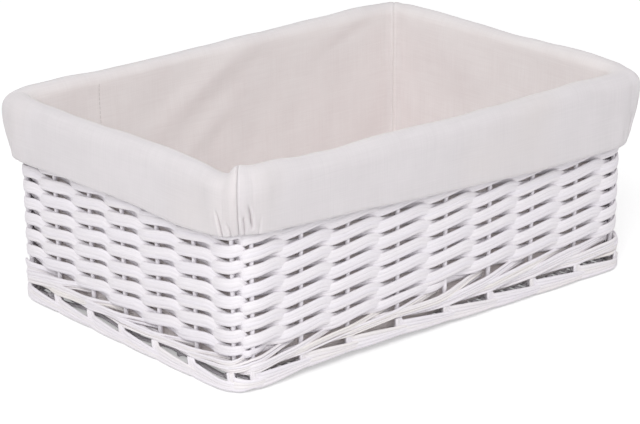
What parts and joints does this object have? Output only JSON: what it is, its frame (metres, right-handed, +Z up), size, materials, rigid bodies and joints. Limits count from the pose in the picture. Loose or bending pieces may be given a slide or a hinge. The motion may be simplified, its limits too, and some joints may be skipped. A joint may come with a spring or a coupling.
{
  "type": "wicker storage basket",
  "caption": "Rectangular white-painted willow storage basket with rounded corners, woven on upright stakes, with a lift-out cotton liner folded over the rim.",
  "frame": {"origin": "centre of the footprint, on the surface that the basket stands on", "axes": "+X along the length, +Y across the width towards the back, +Z up"},
  "size_m": [0.477, 0.334, 0.19],
  "materials": {
    "painted_willow": "white paint, satin, on willow rods",
    "cotton": "plain-woven off-white cotton, matt",
    "elastic_web": "woven elastic, matt"
  },
  "bodies": {
    "basket": {"foot_border": "painted_willow", "base_weave": "painted_willow", "base_stick_1": "painted_willow", "base_stick_2": "painted_willow", "base_stick_3": "painted_willow", "base_stick_4": "painted_willow", "base_stick_5": "painted_willow", "stake_01": "painted_willow", "stake_02": "painted_willow", "stake_03": "painted_willow", "stake_04": "painted_willow", "stake_05": "painted_willow", "stake_06": "painted_willow", "stake_07": "painted_willow", "stake_08": "painted_willow", "stake_09": "painted_willow", "stake_10": "painted_willow", "stake_11": "painted_willow", "stake_12": "painted_willow", "stake_13": "painted_willow", "stake_14": "painted_willow", "stake_15": "painted_willow", "stake_16": "painted_willow", "stake_17": "painted_willow", "stake_18": "painted_willow", "stake_19": "painted_willow", "stake_20": "painted_willow", "stake_21": "painted_willow", "stake_22": "painted_willow", "stake_23": "painted_willow", "stake_24": "painted_willow", "stake_25": "painted_willow", "stake_26": "painted_willow", "stake_27": "painted_willow", "stake_28": "painted_willow", "stake_29": "painted_willow", "stake_30": "painted_willow", "stake_31": "painted_willow", "stake_32": "painted_willow", "wale_1": "painted_willow", "wale_2": "painted_willow", "wale_3": "painted_willow", "siding_1a": "painted_willow", "siding_1b": "painted_willow", "siding_2a": "painted_willow", "siding_2b": "painted_willow", "siding_3a": "painted_willow", "siding_3b": "painted_willow", "siding_4a": "painted_willow", "siding_4b": "painted_willow", "rim_border": "painted_willow"},
    "liner": {"liner_front": "cotton", "liner_right": "cotton", "liner_back": "cotton", "liner_left": "cotton", "liner_floor": "cotton", "hem_elastic": "elastic_web"}
  },
  "joints": [
    {"name": "liner_lift", "type": "slide", "parent": "basket", "child": "liner", "axis": [0, 0, 1], "range_m": [0, 0.2]}
  ]
}
